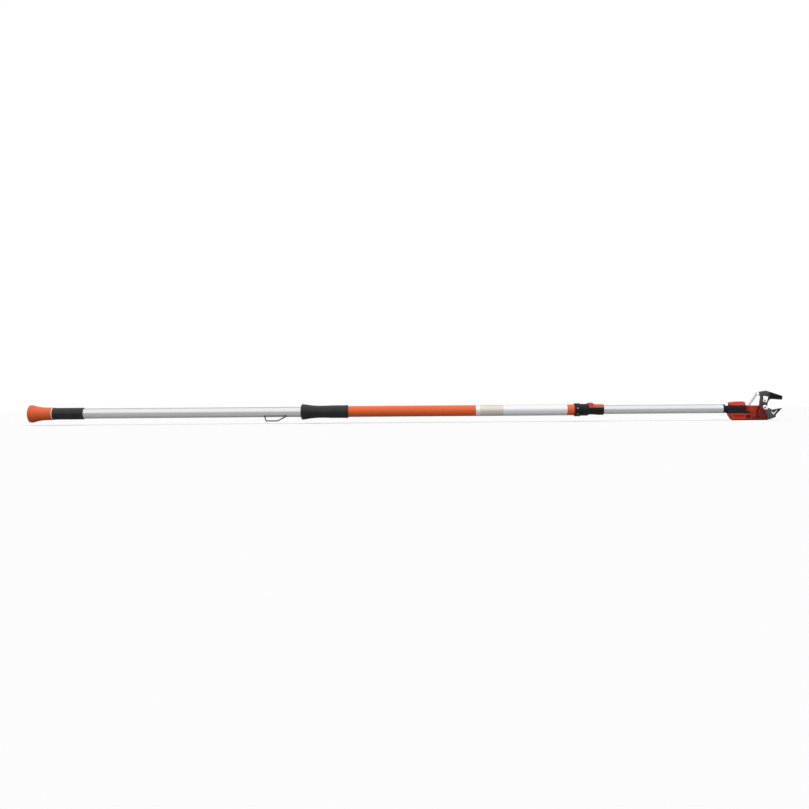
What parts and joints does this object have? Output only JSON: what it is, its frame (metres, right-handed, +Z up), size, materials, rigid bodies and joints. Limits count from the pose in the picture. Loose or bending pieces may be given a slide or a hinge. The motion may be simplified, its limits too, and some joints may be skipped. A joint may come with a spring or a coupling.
{
  "type": "pole tree pruner",
  "caption": "Telescopic pole tree pruner whose lower tube is pushed in to close a bypass blade through a drive rod and link, with clamp levers and a swivelling head.",
  "frame": {"origin": "centre of the end cap's flat butt face, on the pole's axis", "axes": "+X along the pole from the butt to the jaws, +Z up with the blade above the lower jaw, +Y to the back of the pictured side"},
  "size_m": [2.258, 0.0524, 0.0885],
  "materials": {
    "orange_plastic": "moulded, satin gloss",
    "orange_paint": "powder coat, satin gloss",
    "grip_rubber": "soft matte grip",
    "black_plastic": "fine moulded grain",
    "pale_plastic": "smooth moulded",
    "label_film": "smooth printed film, blank",
    "bare_aluminium": "drawn tube, satin",
    "dark_wire": "black coated wire",
    "bright_steel": "zinc plated",
    "tip_brass": "turned",
    "dark_steel": "dark low-friction coat on forged steel"
  },
  "bodies": {
    "pole": {"mid_grip": "grip_rubber", "grip_wiper": "pale_plastic", "outer_tube": "orange_paint", "label_wrap": "label_film", "clamp_body": "black_plastic", "clamp_bush": "pale_plastic", "collar_screws": "bright_steel", "clamp_bolt": "bright_steel", "clamp_nut": "bright_steel"},
    "clamp_lever": {"clamp_lever": "orange_plastic"},
    "handle": {"end_cap": "orange_plastic", "cap_ring": "pale_plastic", "rear_grip": "grip_rubber", "lower_tube": "bare_aluminium", "lower_glide": "black_plastic", "hanger_wire": "dark_wire", "drive_anchor": "bare_aluminium", "anchor_pin": "bright_steel", "cap_screw": "bright_steel", "drive_tube": "bare_aluminium"},
    "upper": {"upper_tube": "bare_aluminium", "tail_glide": "black_plastic", "stem_plug": "black_plastic", "stem_pins": "bright_steel", "stem_clip": "bright_steel", "return_spring": "bright_steel"},
    "rod": {"drive_rod": "bare_aluminium", "rod_collar": "bright_steel", "rod_tip": "tip_brass", "rod_clip": "bright_steel"},
    "head": {"swivel_collar": "black_plastic", "lock_bolt": "bright_steel", "lock_nut": "bright_steel", "casing_front": "orange_plastic", "casing_back": "orange_plastic", "casing_screws": "bright_steel", "lower_jaw": "dark_steel", "jaw_bolts": "bright_steel", "pivot_bolt": "bright_steel", "pivot_nut": "bright_steel"},
    "lock_lever": {"lock_lever": "orange_plastic"},
    "carriage": {"carriage": "bright_steel"},
    "blade": {"blade": "dark_steel", "blade_plate": "bright_steel", "plate_rivets": "bright_steel", "link_pin_upper": "bright_steel"},
    "link": {"link": "bright_steel", "link_pin_lower": "bright_steel"}
  },
  "joints": [
    {"name": "handle_push", "type": "slide", "parent": "pole", "child": "handle", "axis": [1, 0, 0], "range_m": [0, 0.0408], "stiffness_N_per_m": 300, "springref_m": -0.03},
    {"name": "clamp_lever_open", "type": "hinge", "parent": "pole", "child": "clamp_lever", "pos_m": [1.6805, 0, 0.017], "axis": [0, -1, 0], "range_deg": [0, 95]},
    {"name": "pole_extend", "type": "slide", "parent": "pole", "child": "upper", "axis": [1, 0, 0], "range_m": [-0.33, 0.42]},
    {"name": "rod_push", "type": "slide", "parent": "upper", "child": "rod", "axis": [1, 0, 0], "range_m": [0, 0.041], "deforming": ["return_spring"]},
    {"name": "head_swivel", "type": "hinge", "parent": "upper", "child": "head", "pos_m": [2.1, 0, 0], "axis": [1, 0, 0], "range_deg": [-180, 180]},
    {"name": "lock_lever_open", "type": "hinge", "parent": "head", "child": "lock_lever", "pos_m": [2.101, 0, 0.0152], "axis": [0, -1, 0], "range_deg": [0, 95]},
    {"name": "carriage_push", "type": "slide", "parent": "head", "child": "carriage", "axis": [1, 0, 0], "range_m": [0, 0.041]},
    {"name": "blade_close", "type": "hinge", "parent": "head", "child": "blade", "pos_m": [2.203, 0, 0.003], "axis": [0, 1, 0], "range_deg": [0, 45.2]},
    {"name": "link_turn", "type": "hinge", "parent": "blade", "child": "link", "pos_m": [2.181, 0, 0.0445], "axis": [0, 1, 0], "range_deg": [-50, 0]}
  ],
  "couplings": [
    {"joint": "rod_push", "follows": "handle_push", "ratio": 1},
    {"joint": "carriage_push", "follows": "handle_push", "ratio": 1},
    {"joint": "blade_close", "follows": "handle_push", "rad_per_m": 19.245},
    {"joint": "link_turn", "follows": "handle_push", "rad_per_m": -21.265}
  ]
}
